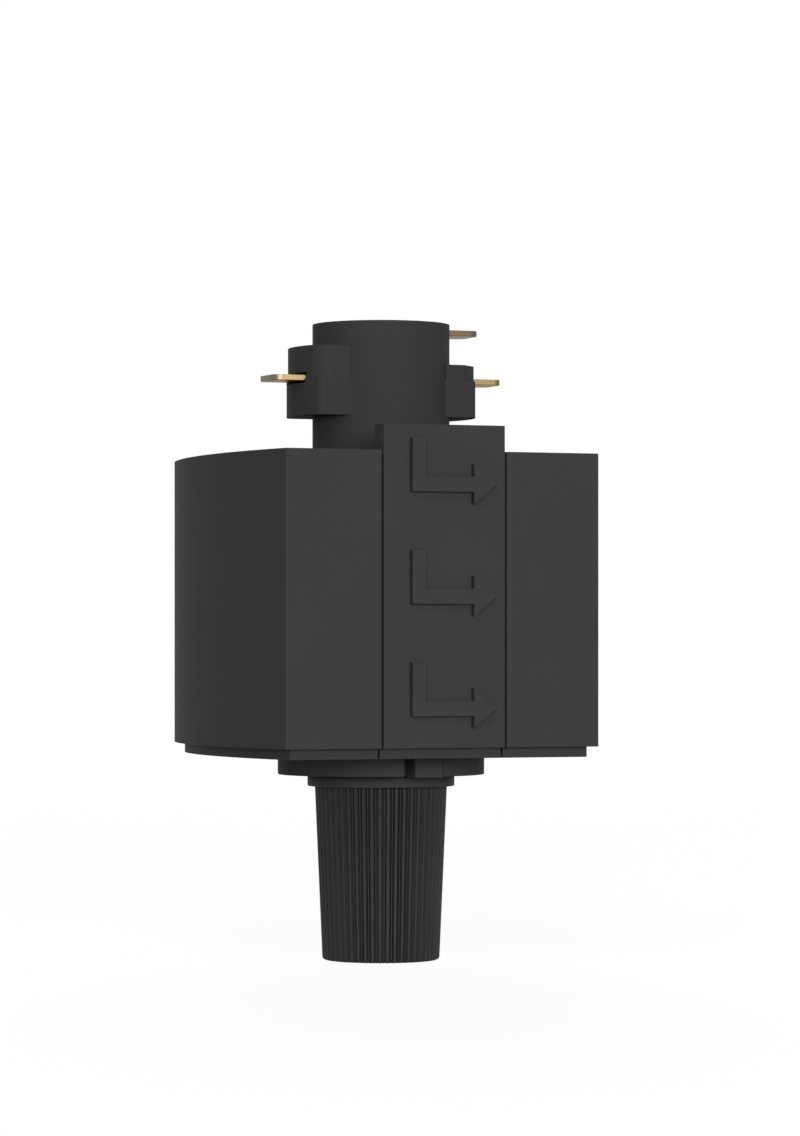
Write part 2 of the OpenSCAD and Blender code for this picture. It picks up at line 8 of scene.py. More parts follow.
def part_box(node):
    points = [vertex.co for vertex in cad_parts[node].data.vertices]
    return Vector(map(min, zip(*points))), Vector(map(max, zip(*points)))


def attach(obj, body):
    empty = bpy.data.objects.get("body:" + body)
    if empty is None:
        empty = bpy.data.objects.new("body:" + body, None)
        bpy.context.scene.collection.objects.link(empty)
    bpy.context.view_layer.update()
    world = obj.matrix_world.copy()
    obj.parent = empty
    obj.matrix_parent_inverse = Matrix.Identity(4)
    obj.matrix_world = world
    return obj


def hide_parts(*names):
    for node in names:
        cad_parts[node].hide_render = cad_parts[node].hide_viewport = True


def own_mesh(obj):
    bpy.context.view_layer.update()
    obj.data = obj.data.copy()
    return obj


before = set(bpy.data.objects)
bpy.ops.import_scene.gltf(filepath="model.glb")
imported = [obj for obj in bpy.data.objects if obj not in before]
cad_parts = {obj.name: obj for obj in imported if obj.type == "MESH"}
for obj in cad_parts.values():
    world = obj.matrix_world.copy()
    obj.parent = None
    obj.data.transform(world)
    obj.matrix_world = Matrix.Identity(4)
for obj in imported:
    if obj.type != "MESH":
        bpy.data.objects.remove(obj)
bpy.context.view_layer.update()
MM = 0.001

# Camera
# A long lens, level with the middle of the connector and turned 22 degrees to its left,
# so that the front, the left side and both lugs of the turret show.
view_turn = math.radians(22)
view_height = -19.6 * MM
view_distance = 440 * MM
view_aside = 2.05 * MM
view_shift = 72 / 1136
lens_length, sensor_width = 129.68, 36
nearest, farthest = 0.05, 20

forward = Vector((math.sin(view_turn), math.cos(view_turn), 0))
aside = Vector((math.cos(view_turn), -math.sin(view_turn), 0))
camera_data = bpy.data.cameras.new("camera")
camera_data.lens = lens_length
camera_data.sensor_width = sensor_width
camera_data.shift_y = view_shift
camera_data.clip_start = nearest
camera_data.clip_end = farthest
camera = bpy.data.objects.new("camera", camera_data)
camera.location = aside * view_aside - forward * view_distance + Vector((0, 0, view_height))
camera.rotation_euler = (math.radians(90), 0, -view_turn)
bpy.context.scene.collection.objects.link(camera)
bpy.context.scene.camera = camera

# Housing
# The box-like cover with two curved sides, one moulding in black thermoplastic with its deck,
# screw bosses and latch rails. The mould is spark-eroded, so the skin has a fine even grain.
merge_reach = 0.001 * MM
flat_angle, sharp_angle = math.radians(0.5), math.radians(30)
tight_share = 0.2
back_from, back_solid, back_shown = 12 * MM, 17.85 * MM, 17.35 * MM


def new_node(tree, kind, inputs=None, **settings):
    """A node with these settings, its inputs filled with values or with other nodes' outputs."""
    made = tree.nodes.new(kind)
    for name, value in settings.items():
        setattr(made, name, value)
    for socket, value in (inputs or {}).items():
        if isinstance(value, bpy.types.NodeSocket):
            tree.links.new(value, made.inputs[socket])
        else:
            made.inputs[socket].default_value = value
    return made


def number(tree, operation, *values):
    """What a Math node makes of its values."""
    inputs = dict(enumerate(values))
    return new_node(tree, "ShaderNodeMath", inputs, operation=operation).outputs[0]


def noise(tree, place, scale, detail=2):
    """Noise at a place, as a number from 0 to 1."""
    inputs = {"Vector": place, "Scale": scale, "Detail": detail}
    return new_node(tree, "ShaderNodeTexNoise", inputs).outputs["Fac"]


def toned(colour, *factors):
    """The colour times one factor, or times one for each channel, and never past white."""
    return [min(1, c * f) for c, f in zip(colour, factors * 3)] + [1]


def mixed(tree, share, first, second):
    """The colour between two others at this share."""
    inputs = {0: share, 6: first, 7: second}
    return new_node(tree, "ShaderNodeMix", inputs, data_type="RGBA").outputs[2]


def new_finish(name, fixed):
    """A material with its shader's fixed values, its node tree, and the place on the piece."""
    material = bpy.data.materials.new(name)
    material.use_nodes = True
    tree = material.node_tree
    for socket, value in fixed.items():
        tree.nodes["Principled BSDF"].inputs[socket].default_value = value
    return material, tree, new_node(tree, "ShaderNodeTexCoord").outputs["Object"]


def set_surface(tree, colour, gloss, relief):
    """Links a colour, a gloss (what varies it, from, to) and a relief (height, strength, mm)."""
    varied_by, smoothest, roughest = gloss
    height, strength, depth = relief
    roughness = new_node(tree, "ShaderNodeMapRange",
                         {"Value": varied_by, "To Min": smoothest, "To Max": roughest})
    skin = new_node(tree, "ShaderNodeBump",
                    {"Height": height, "Strength": strength, "Distance": depth * MM})
    shader = tree.nodes["Principled BSDF"]
    tree.links.new(colour, shader.inputs["Base Color"])
    tree.links.new(roughness.outputs["Result"], shader.inputs["Roughness"])
    tree.links.new(skin.outputs["Normal"], shader.inputs["Normal"])


def eroded_plastic(name, grey, roughness, grain):
    """Black thermoplastic with a fine eroded grain, slightly uneven in tone and in gloss."""
    material, tree, place = new_finish(name, {"IOR": 1.5, "Specular IOR Level": 0.05})
    colour = (grey, grey, grey)
    flow = noise(tree, place, scale=130, detail=3)
    specks = noise(tree, place, scale=5200)
    pits = new_node(tree, "ShaderNodeTexVoronoi", {"Vector": place, "Scale": 6500})
    uneven = number(tree, "MULTIPLY_ADD", specks, 0.55, number(tree, "MULTIPLY", flow, 0.45))
    height = number(tree, "ADD", pits.outputs["Distance"], specks)
    set_surface(tree, mixed(tree, uneven, toned(colour, 0.84), toned(colour, 1.16)),
                gloss=(specks, roughness - 0.07, roughness + 0.07), relief=(height, grain, 0.03))
    return material


def add_piece(name, mesh, material, body, slot, *nodes):
    """A finished mesh as a piece that rides on its body and stands for its CAD nodes."""
    mesh.name = name
    mesh.materials.clear()
    mesh.materials.append(material)
    for face in mesh.polygons:
        face.material_index = 0
    piece = bpy.data.objects.new(name, mesh)
    bpy.context.scene.collection.objects.link(piece)
    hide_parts(*nodes)
    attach(piece, body)
    return piece


def made_plain(shape):
    """The object's mesh with its modifiers applied; the object itself goes."""
    bpy.context.view_layer.update()
    sight = bpy.context.evaluated_depsgraph_get()
    mesh = bpy.data.meshes.new_from_object(shape.evaluated_get(sight), depsgraph=sight)
    shape.modifiers.clear()
    bpy.data.objects.remove(shape)
    return mesh


def merged_copy(node):
    """A CAD node's mesh with its corners joined and without the shading that its import left."""
    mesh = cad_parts[node].data.copy()
    mesh.attributes.remove(mesh.attributes["custom_normal"])
    work = bmesh.new()
    work.from_mesh(mesh)
    bmesh.ops.remove_doubles(work, verts=work.verts, dist=merge_reach)
    for face in work.faces:
        face.smooth = True
    work.to_mesh(mesh)
    work.free()
    return mesh


def carved(mesh, tool, operation):
    """The mesh cut by, or cut down to, the bmesh shape that tool holds."""
    blade = bpy.data.meshes.new("blade")
    tool.to_mesh(blade)
    tool.free()
    cutter, shape = bpy.data.objects.new("cutter", blade), bpy.data.objects.new("shape", mesh)
    for part in (cutter, shape):
        bpy.context.scene.collection.objects.link(part)
    cut = shape.modifiers.new("cut", "BOOLEAN")
    cut.operation = operation
    cut.solver = "EXACT"
    cut.object = cutter
    result = made_plain(shape)
    bpy.data.objects.remove(cutter)
    for face in result.polygons:
        face.use_smooth = True
    return result


def eased_edges(node, edge, change=None, tight=None, tools=()):
    """A copy of a CAD node, cut by tools and changed, with its sharp edges rounded.

    The rounding is edge mm wide, or a fifth of that where tight says so of an edge's middle.
    """
    mesh = merged_copy(node)
    for tool in tools:
        mesh = carved(mesh, tool, "DIFFERENCE")
    work = bmesh.new()
    work.from_mesh(mesh)
    if change:
        change(work)
    bmesh.ops.dissolve_limit(work, angle_limit=flat_angle, verts=work.verts, edges=work.edges)
    rounded = work.edges.layers.float.new("bevel_weight_edge")
    for side in work.edges:
        if side.is_manifold and side.calc_face_angle() > sharp_angle:
            middle = (side.verts[0].co + side.verts[1].co) / 2
            side[rounded] = tight_share if tight and tight(middle) else 1
    work.to_mesh(mesh)
    work.free()
    shape = bpy.data.objects.new("shape", mesh)
    bpy.context.scene.collection.objects.link(shape)
    rounding = shape.modifiers.new("rounding", "BEVEL")
    rounding.width = edge * MM
    rounding.segments = 2
    rounding.limit_method = "WEIGHT"
    rounding.harden_normals = True
    rounding.use_clamp_overlap = True
    return made_plain(shape)


def shallower_back(work):
    """Draws the back in by 0.5 mm, as the photo shows it, and the curved sides' last third."""
    for corner in work.verts:
        if corner.co.y > back_from:
            share = (corner.co.y - back_from) / (back_solid - back_from)
            corner.co.y = back_from + share * (back_shown - back_from)


shell_black = eroded_plastic("shell_black", grey=0.0415, roughness=0.67, grain=0.3)
add_piece("housing_cover", eased_edges("housing", 0.12, change=shallower_back), shell_black,
          "body", "black_plastic", "housing")

# Base plate
# Closes the housing from below and carries the cord grip. Its edge is stepped in, which shows
# as the rim under the housing, and its key block shows in the notch of the cord grip's flange.
key_side, key_gap, key_back = 2.8 * MM, 0.08 * MM, -8 * MM


def at_key(place):
    """Whether a place is on the key block's right side, or on the notch's wall close beside it."""
    return abs(place.x - key_side) < key_gap and place.y < key_back


add_piece("base_closure", eased_edges("base_plate", 0.1, change=shallower_back, tight=at_key),
          shell_black, "body", "black_plastic", "base_plate")

# Latch
# The sprung front panel with three raised arrows that say pull down, then turn. It slides in
# rails behind the housing's front face and is moulded in the same black plastic.
panel_front, arrow_field = -17.85 * MM, 6.3 * MM
first_bar, arrow_pitch = -3.45 * MM, 11.6 * MM
# Heights over the middle of an arrow's bar: its lower edge, and where its stroke has its top.
bar_edge_low, bar_edge_high, stroke_end = -0.8 * MM, -0.7 * MM, 4 * MM
arrow_left, arrow_proud = 0.22 * MM, 0.35 * MM
bar_drop, stroke_drop = 0.08 * MM, 0.1 * MM
# Less than any step on the part, so it tells one face's places from another's.
hair = 0.01 * MM


def prouder_arrows(work):
    """Fits the arrows to the photo: they stand further out and further left, and end lower."""
    for corner in work.verts:
        place = corner.co
        if place.y > panel_front + hair or abs(place.x) > arrow_field:
            continue
        above = (place.z - first_bar + 2.5 * arrow_pitch) % arrow_pitch - arrow_pitch / 2
        if above > stroke_end:
            place.z -= stroke_drop
        elif bar_edge_low < above < bar_edge_high:
            place.z -= bar_drop
        place.x -= arrow_left
        if place.y < panel_front - hair:
            place.y -= arrow_proud


add_piece("latch_panel", eased_edges("latch", 0.09, change=prouder_arrows), shell_black,
          "latch", "black_plastic", "latch")

# Turret
# The round post that enters the track, with the lower halves of its two lugs. The upper halves
# are separate clips, the right one lower and cut at its front corner, and a thin disc closes it.
lug_split, lug_base, lug_reach, lug_front = 8.15 * MM, 4.25 * MM, 10.15 * MM, 5.05 * MM
lug_rounding, rounding_steps, tool_spare = 1.1 * MM, 12, 0.4 * MM
post_skin, clip_skin, post_growth = 7.25 * MM, 7.3 * MM, 0.12 * MM


def at_split(place):
    """Whether a place is on the joint between the lugs' halves, where the edges stay crisp."""
    return abs(place.z - lug_split) < hair


def lug_corner(side):
    """What the rounding takes off an outer corner of the left lug; side is -1 for the front."""
    middle_y = lug_front - lug_rounding
    middle_x = -math.sqrt((lug_reach - lug_rounding) ** 2 - middle_y ** 2)
    sweep = math.atan2(-middle_x, middle_y)
    turns = [sweep * step / rounding_steps for step in range(rounding_steps + 1)]
    outline = [(middle_x - lug_rounding * math.sin(turn),
                side * (middle_y + lug_rounding * math.cos(turn))) for turn in turns]
    last_x, last_y = outline[-1]
    # The last three points close the tool well outside the lug.
    outline += [(1.1 * last_x, 1.1 * last_y), (-1.2 * lug_reach, side * 1.4 * lug_front),
                (middle_x, side * 1.4 * lug_front)]
    work = bmesh.new()
    low = [work.verts.new((x, y, lug_base - tool_spare)) for x, y in outline]
    high = [work.verts.new((x, y, lug_split + tool_spare)) for x, y in outline]
    work.faces.new(low)
    work.faces.new(list(reversed(high)))
    for here in range(len(outline)):
        there = (here + 1) % len(outline)
        work.faces.new((low[there], low[here], high[here], high[there]))
    bmesh.ops.recalc_face_normals(work, faces=work.faces)
    return work


def wider_post(work):
    """Makes the post 0.24 mm wider, as read from the photo, and the clips' faces that hug it."""
    for corner in work.verts:
        place = corner.co
        reach = math.hypot(place.x, place.y)
        if not post_skin - 2 * hair < reach < clip_skin + 2 * hair:
            continue
        if abs(abs(place.y) - lug_front) < hair:
            place.x = math.copysign(math.sqrt((reach + post_growth) ** 2 - place.y ** 2), place.x)
        else:
            place.x *= 1 + post_growth / reach
            place.y *= 1 + post_growth / reach


turret_black = eroded_plastic("turret_black", grey=0.038, roughness=0.67, grain=0.3)
post = eased_edges("turret", 0.1, change=wider_post, tight=at_split,
                   tools=[lug_corner(side) for side in (-1, 1)])
add_piece("turret_post", post, turret_black, "body", "black_plastic", "turret")
for clip, node in (("left_lug_clip", "left_lug_cap"), ("right_lug_clip", "right_lug_cap")):
    add_piece(clip, eased_edges(node, 0.09, change=wider_post, tight=at_split), turret_black,
              "body", "black_plastic", node)
add_piece("turret_disc", eased_edges("turret_lid", 0.06), turret_black,
          "body", "black_plastic", "turret_lid")


# Contacts
# Three strips stamped from sheet brass and bent, the line strip to the left lug, the neutral to
# the right and the earth to the turret's top. Rolling leaves fine lines along each strip, and
# the blades' colour is darkened towards their ends as painted shade for the rounded tips.
def rolled_brass(name, colour, roughness, tip_shade=None, tip_shade_from=0):
    """Satin sheet brass: lines from rolling, brown tarnish, and painted shade on tips past a radius
    in mm.
    """
    material, tree, place = new_finish(name, {"Metallic": 1})
    drawn_out = new_node(tree, "ShaderNodeMapping", {"Vector": place, "Scale": (0.08, 1, 1)})
    lines = noise(tree, drawn_out.outputs["Vector"], scale=9000, detail=3)
    tarnish = noise(tree, place, scale=420, detail=4)
    tone = mixed(tree, tarnish, toned(colour, 0.8, 0.74, 0.68), toned(colour, 1.12))
    # Painted shade: the colour darkens towards the blades' rounded ends.
    if tip_shade:
        level = new_node(tree, "ShaderNodeVectorMath", {0: place, 1: (1, 1, 0)},
                         operation="MULTIPLY")
        reach = new_node(tree, "ShaderNodeVectorMath", {0: level.outputs["Vector"]},
                         operation="LENGTH")
        painted_tip_shade = new_node(tree, "ShaderNodeMapRange",
                           {"Value": reach.outputs["Value"], "From Min": (tip_shade_from - 0.25) * MM,
                            "From Max": (tip_shade_from + 0.25) * MM}, interpolation_type="SMOOTHSTEP")
        tone = mixed(tree, painted_tip_shade.outputs["Result"], tone, toned(tip_shade, 1))
    set_surface(tree, tone, gloss=(lines, roughness - 0.08, roughness + 0.1),
                relief=(lines, 0.25, 0.006))
    return material


# The tip colours are painted shade, darkening the blades' ends.
side_brass = rolled_brass("side_brass", (0.33, 0.235, 0.11), roughness=0.42,
                          tip_shade=(0.16, 0.128, 0.085), tip_shade_from=12.65)
earth_brass = rolled_brass("earth_brass", (0.17, 0.115, 0.063), roughness=0.42,
                           tip_shade=(0.1, 0.1, 0.085), tip_shade_from=9.7)
for strip, brass in (("line_contact", side_brass), ("neutral_contact", side_brass),
                     ("earth_contact", earth_brass)):
    add_piece(strip + "_strip", eased_edges(strip, 0.05), brass, "body", "contact_metal", strip)


# Insulators
# A core in the turret keeps the three strips apart, and a block under the deck has a pocket for
# each wire clamp. Both are moulded in natural polyamide, which is ivory and a little waxy.
def natural_polyamide(name, colour):
    """Ivory polyamide: soft gloss, faint clouds, very fine grain."""
    material, tree, place = new_finish(name, {
        "Subsurface Weight": 0.12, "Subsurface Radius": (1.2 * MM, 0.9 * MM, 0.6 * MM)})
    clouds = noise(tree, place, scale=260, detail=3)
    grain = noise(tree, place, scale=7000)
    set_surface(tree, mixed(tree, clouds, toned(colour, 0.93), toned(colour, 1.05)),
                gloss=(clouds, 0.38, 0.5), relief=(grain, 0.15, 0.02))
    return material


ivory = natural_polyamide("ivory_polyamide", (0.74, 0.7, 0.6))
add_piece("insulating_core", eased_edges("contact_core", 0.08), ivory,
          "body", "insulator", "contact_core")
add_piece("clamp_block", eased_edges("terminal_block", 0.1), ivory,
          "body", "insulator", "terminal_block")

# Wire clamps
# Three blocks sawn from square brass bar, each with an upright hole for its wire and a cross
# hole for its clamp screw. Sawing and drilling leave them brighter than the strips.
bar_brass = rolled_brass("bar_brass", (0.8, 0.62, 0.32), roughness=0.28)
for clamp in ("line_terminal", "neutral_terminal", "earth_terminal"):
    add_piece(clamp + "_clamp", eased_edges(clamp, 0.08), bar_brass,
              "body", "terminal_brass", clamp)


# Screws
# Zinc-plated cheese-head screws with a cross recess: two hold the base plate, two the turret,
# and three clamp the wires. Their threads are rolled, and stand on a core thinner than the shaft.
triangle_share = 0.68


def zinc_plate(name, colour, roughness):
    """Bright zinc plating over steel: bluish grey, lightly mottled, with fine handling marks."""
    material, tree, place = new_finish(name, {"Metallic": 1})
    mottle = noise(tree, place, scale=900, detail=4)
    set_surface(tree, mixed(tree, mottle, toned(colour, 0.88), toned(colour, 1.06)),
                gloss=(mottle, roughness - 0.08, roughness + 0.08), relief=(mottle, 0.12, 0.01))
    return material


def new_tree(name, inputs):
    """A geometry tree with named inputs, each of its kind, and the outputs that bring them in."""
    tree = bpy.data.node_groups.new(name, "GeometryNodeTree")
    for label, kind in inputs.items():
        tree.interface.new_socket(label, in_out="INPUT", socket_type="NodeSocket" + kind)
    tree.interface.new_socket("Geometry", in_out="OUTPUT", socket_type="NodeSocketGeometry")
    return tree, new_node(tree, "NodeGroupInput").outputs


def swept(tree, path, section):
    """The closed shell that a section leaves along a path."""
    shell = new_node(tree, "GeometryNodeCurveToMesh", {
        "Curve": path, "Profile Curve": section.outputs["Curve"], "Fill Caps": True})
    return shell.outputs["Mesh"]


def end_tree(tree, geometry, finish, weld=None):
    """Ends a tree: its instances made real, welded where weld gives a reach, and the finish set."""
    solid = new_node(tree, "GeometryNodeRealizeInstances", {"Geometry": geometry})
    if weld is not None:
        solid = new_node(tree, "GeometryNodeMergeByDistance",
                         {"Geometry": solid.outputs["Geometry"], "Distance": weld})
    paint = new_node(tree, "GeometryNodeSetMaterial",
                     {"Geometry": solid.outputs["Geometry"], "Material": finish})
    new_node(tree, "NodeGroupOutput", {"Geometry": paint.outputs["Geometry"]})


def ridge_tree():
    """Nodes that sweep a pointed ridge along a helix, which makes a thread on a plain core.

    The ridge is a triangle, sized by triangle_share of the thread's depth, with a corner out.
    """
    tree, given = new_tree("thread ridge", {
        "Crest Radius": "Float", "Ridge Depth": "Float", "Pitch": "Float", "Turns": "Float",
        "Steps a Turn": "Int", "Finish": "Material"})
    size = number(tree, "MULTIPLY", given["Ridge Depth"], triangle_share)
    centre = number(tree, "SUBTRACT", given["Crest Radius"], size)
    helix = new_node(tree, "GeometryNodeCurveSpiral", {
        "Resolution": given["Steps a Turn"], "Rotations": given["Turns"],
        "Start Radius": centre, "End Radius": centre,
        "Height": number(tree, "MULTIPLY", given["Pitch"], given["Turns"])})
    upright = new_node(tree, "GeometryNodeSetCurveNormal", {"Curve": helix.outputs["Curve"]},
                       mode="Z_UP")
    triangle = new_node(tree, "GeometryNodeCurvePrimitiveCircle",
                        {"Resolution": 3, "Radius": size})
    end_tree(tree, swept(tree, upright.outputs["Curve"], triangle), given["Finish"])
    return tree


def grown(tree, values):
    """The plain mesh that a geometry tree makes with these named values."""
    shape = bpy.data.objects.new("shape", bpy.data.meshes.new("shape"))
    bpy.context.scene.collection.objects.link(shape)
    growth = shape.modifiers.new("growth", "NODES")
    growth.node_group = tree
    for socket in tree.interface.items_tree:
        if socket.in_out == "INPUT":
            growth[socket.identifier] = values[socket.name]
    return made_plain(shape)


def thread_ridge(crest, depth, pitch, turns, steps, finish):
    """The ridge of one thread: crest is its outer radius, and it, depth and pitch are in mm."""
    return grown(ridges, {"Crest Radius": crest * MM, "Ridge Depth": depth * MM,
                          "Pitch": pitch * MM, "Turns": turns, "Steps a Turn": steps,
                          "Finish": finish})


def with_ridges(mesh, ridge, places):
    """The mesh with a copy of the ridge added at each place."""
    work = bmesh.new()
    work.from_mesh(mesh)
    for place in places:
        copy = ridge.copy()
        copy.transform(place)
        work.from_mesh(copy)
        bpy.data.meshes.remove(copy)
    for face in work.faces:
        face.smooth = True
    work.to_mesh(mesh)
    work.free()
    return mesh


def thinned_shafts(axes, along, shaft, core):
    """A change that draws the shaft's skin in to the core's radius, in mm, round each axis."""
    def change(work):
        for vertex in work.verts:
            for axis in axes:
                out = vertex.co - axis
                out[along] = 0
                if abs(out.length - shaft * MM) < 0.03 * MM:
                    vertex.co -= out * (1 - core / shaft)
    return change


plated = zinc_plate("zinc_plate", (0.62, 0.64, 0.66), roughness=0.3)
ridges = ridge_tree()

boss_x, cover_thread_low = 15.8 * MM, -30.5 * MM
axes = [Vector((side * boss_x, 0, 0)) for side in (-1, 1)]
ridge = thread_ridge(crest=1.24, depth=0.24, pitch=0.9, turns=9.0, steps=18, finish=plated)
screws = eased_edges("cover_screws", 0.08, change=thinned_shafts(axes, 2, shaft=1.25, core=1.03))
seats = [Matrix.Translation(axis + Vector((0, 0, cover_thread_low))) for axis in axes]
add_piece("cover_screw_pair", with_ridges(screws, ridge, seats), plated,
          "body", "screw_steel", "cover_screws")

turret_screw_y, turret_thread_low = 5.075 * MM, -3.2 * MM
axes = [Vector((0, side * turret_screw_y, 0)) for side in (-1, 1)]
ridge = thread_ridge(crest=0.99, depth=0.2, pitch=0.7, turns=11.0, steps=18, finish=plated)
screws = eased_edges("turret_screws", 0.07, change=thinned_shafts(axes, 2, shaft=1, core=0.82))
seats = [Matrix.Translation(axis + Vector((0, 0, turret_thread_low))) for axis in axes]
add_piece("turret_screw_pair", with_ridges(screws, ridge, seats), plated,
          "body", "screw_steel", "turret_screws")

clamp_pitch, clamp_z, clamp_thread_back = 6.2 * MM, -8.5 * MM, 2.2 * MM
axes = [Vector((side * clamp_pitch, 0, clamp_z)) for side in (-1, 0, 1)]
ridge = thread_ridge(crest=1.19, depth=0.18, pitch=0.42, turns=2.6, steps=18, finish=plated)
screws = eased_edges("terminal_screws", 0.07,
                     change=thinned_shafts(axes, 1, shaft=1.2, core=1.04))
lying = Matrix.Rotation(math.radians(90), 4, "X")
seats = [Matrix.Translation(axis + Vector((0, clamp_thread_back, 0))) @ lying for axis in axes]
add_piece("clamp_screw_trio", with_ridges(screws, ridge, seats), plated,
          "body", "screw_steel", "terminal_screws")

# Latch spring
# A compression spring of stainless wire between the base plate and the latch's ledge, with its
# end coils closed. It is wound as one smooth helix.
spring_low, spring_high, spring_wire = -29.3 * MM, -14 * MM, 0.5 * MM
spring_radius, spring_turns, spring_steps, spring_y = 1.95 * MM, 9.0, 324, -11.8 * MM
coil_on_coil = 2.04


def coil_tree():
    """Nodes that wind a wire on a helix whose first and last turns lie coil on coil."""
    tree, given = new_tree("wound spring", {
        "Mean Radius": "Float", "Wire Radius": "Float", "Low": "Float", "High": "Float",
        "Turns": "Float", "Steps": "Int", "Finish": "Material"})
    line = new_node(tree, "GeometryNodeCurvePrimitiveLine")
    dense = new_node(tree, "GeometryNodeResampleCurve",
                     {"Curve": line.outputs["Curve"], "Count": given["Steps"]})
    along = new_node(tree, "GeometryNodeSplineParameter").outputs["Factor"]
    turn = number(tree, "MULTIPLY", along, given["Turns"])
    angle = number(tree, "MULTIPLY", turn, 2 * math.pi)
    wire = number(tree, "MULTIPLY", given["Wire Radius"], coil_on_coil)
    last = number(tree, "SUBTRACT", given["Turns"], 1)
    first_coil = number(tree, "MULTIPLY", number(tree, "MINIMUM", turn, 1), wire)
    past_last = number(tree, "MAXIMUM", number(tree, "SUBTRACT", turn, last), 0)
    last_coil = number(tree, "MULTIPLY", past_last, wire)
    whole_rise = number(tree, "SUBTRACT", given["High"], given["Low"])
    open_rise = number(tree, "SUBTRACT", whole_rise, number(tree, "MULTIPLY", wire, 2))
    middle = new_node(tree, "ShaderNodeMapRange",
                      {"Value": turn, "From Min": 1, "From Max": last, "To Max": open_rise})
    height = number(tree, "ADD", number(tree, "ADD", given["Low"], first_coil),
                    number(tree, "ADD", last_coil, middle.outputs["Result"]))
    point = new_node(tree, "ShaderNodeCombineXYZ", {
        "X": number(tree, "MULTIPLY", number(tree, "COSINE", angle), given["Mean Radius"]),
        "Y": number(tree, "MULTIPLY", number(tree, "SINE", angle), given["Mean Radius"]),
        "Z": height})
    bent = new_node(tree, "GeometryNodeSetPosition",
                    {"Geometry": dense.outputs["Curve"], "Position": point.outputs["Vector"]})
    round_wire = new_node(tree, "GeometryNodeCurvePrimitiveCircle",
                          {"Resolution": 12, "Radius": given["Wire Radius"]})
    end_tree(tree, swept(tree, bent.outputs["Geometry"], round_wire), given["Finish"])
    return tree


wire_steel = zinc_plate("spring_wire", (0.56, 0.56, 0.55), roughness=0.26)
coil = grown(coil_tree(), {
    "Mean Radius": spring_radius, "Wire Radius": spring_wire / 2,
    "Low": spring_low + spring_wire / 2, "High": spring_high - spring_wire / 2,
    "Turns": spring_turns, "Steps": spring_steps, "Finish": wire_steel})
coil.transform(Matrix.Translation((0, spring_y, 0)))
for face in coil.polygons:
    face.use_smooth = len(face.vertices) == 4
spring = add_piece("latch_return_spring", coil, wire_steel, "body", "screw_steel", "latch_spring")
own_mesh(spring)

# Cord grip body
# A turned-looking moulding through the base plate: flange disc with its notch round the key
# block, upper spigot for the nut, and the threaded spigot that the cap screws onto.
flange_low, grip_thread_low = -34.0 * MM, -41.65 * MM
spigot_radius, spigot_core = 5.2, 4.86


def thread_root(work):
    """Draws the lower spigot in to the root of its thread."""
    for vertex in work.verts:
        out = Vector((vertex.co.x, vertex.co.y, 0))
        on_spigot = abs(out.length - spigot_radius * MM) < 0.1 * MM
        if on_spigot and vertex.co.z < flange_low + hair:
            vertex.co -= out * (1 - spigot_core / spigot_radius)


gland = eased_edges("gland_body", 0.12, change=thread_root, tight=at_key)
ridge = thread_ridge(crest=5.18, depth=0.42, pitch=1.5, turns=4.7, steps=64, finish=shell_black)
gland = with_ridges(gland, ridge, [Matrix.Translation((0, 0, grip_thread_low))])
add_piece("grip_body", gland, shell_black, "body", "black_plastic", "gland_body")

# Nut
# A hexagon nut in plated steel pulls the cord grip's flange up against the base plate. Its
# corners are chamfered on both faces, as turned from bar.
nut_corner = 7.5 * MM / math.cos(math.radians(30))
cone_steps, cone_slack = 96, 0.1 * MM
cone_in, cone_down = 1.7 * MM, 0.85 * MM


def chamfered_nut(node):
    """The hexagon cut down to a double cone, so its corners are eased on both faces."""
    low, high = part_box(node)
    middle, half = (low.z + high.z) / 2, (high.z - low.z) / 2
    cone = ((nut_corner - cone_in, half + cone_slack), (nut_corner - cone_slack, half - cone_down))
    rings = [(radius, -z) for radius, z in cone] + [(radius, z) for radius, z in reversed(cone)]
    angles = [2 * math.pi * step / cone_steps for step in range(cone_steps)]
    work = bmesh.new()
    loops = [[work.verts.new((radius * math.cos(a), radius * math.sin(a), middle + z))
              for a in angles] for radius, z in rings]
    for under, over in zip(loops, loops[1:]):
        for here in range(cone_steps):
            there = (here + 1) % cone_steps
            work.faces.new((under[here], under[there], over[there], over[here]))
    work.faces.new(list(reversed(loops[0])))
    work.faces.new(loops[-1])
    nut = carved(merged_copy(node), work, "INTERSECT")
    nut.set_sharp_from_angle(angle=math.radians(20))
    return nut


add_piece("grip_nut", chamfered_nut("gland_nut"), plated, "body", "screw_steel", "gland_nut")


# Seals
# The flat gasket under the base plate and the ring squeezed round the cord are moulded in dark
# rubber, and a thin steel washer lies between the ring and the cap's pusher.
def moulded_rubber(name, colour):
    """Dark rubber: dull, with a faint bloom."""
    material, tree, place = new_finish(name, {"Specular IOR Level": 0.3})
    bloom = noise(tree, place, scale=700, detail=5)
    set_surface(tree, mixed(tree, bloom, toned(colour, 0.8), toned(colour, 1.3)),
                gloss=(bloom, 0.62, 0.8), relief=(bloom, 0.2, 0.02))
    return material


rubber = moulded_rubber("seal_rubber_dark", (0.045, 0.045, 0.047))
add_piece("flange_gasket", eased_edges("gland_gasket", 0.08), rubber,
          "body", "seal_rubber", "gland_gasket")
add_piece("cord_ring_seal", eased_edges("cord_seal", 0.15), rubber,
          "body", "seal_rubber", "cord_seal")
add_piece("seal_washer", eased_edges("thrust_washer", 0.08), plated,
          "pressure_ring", "screw_steel", "thrust_washer")

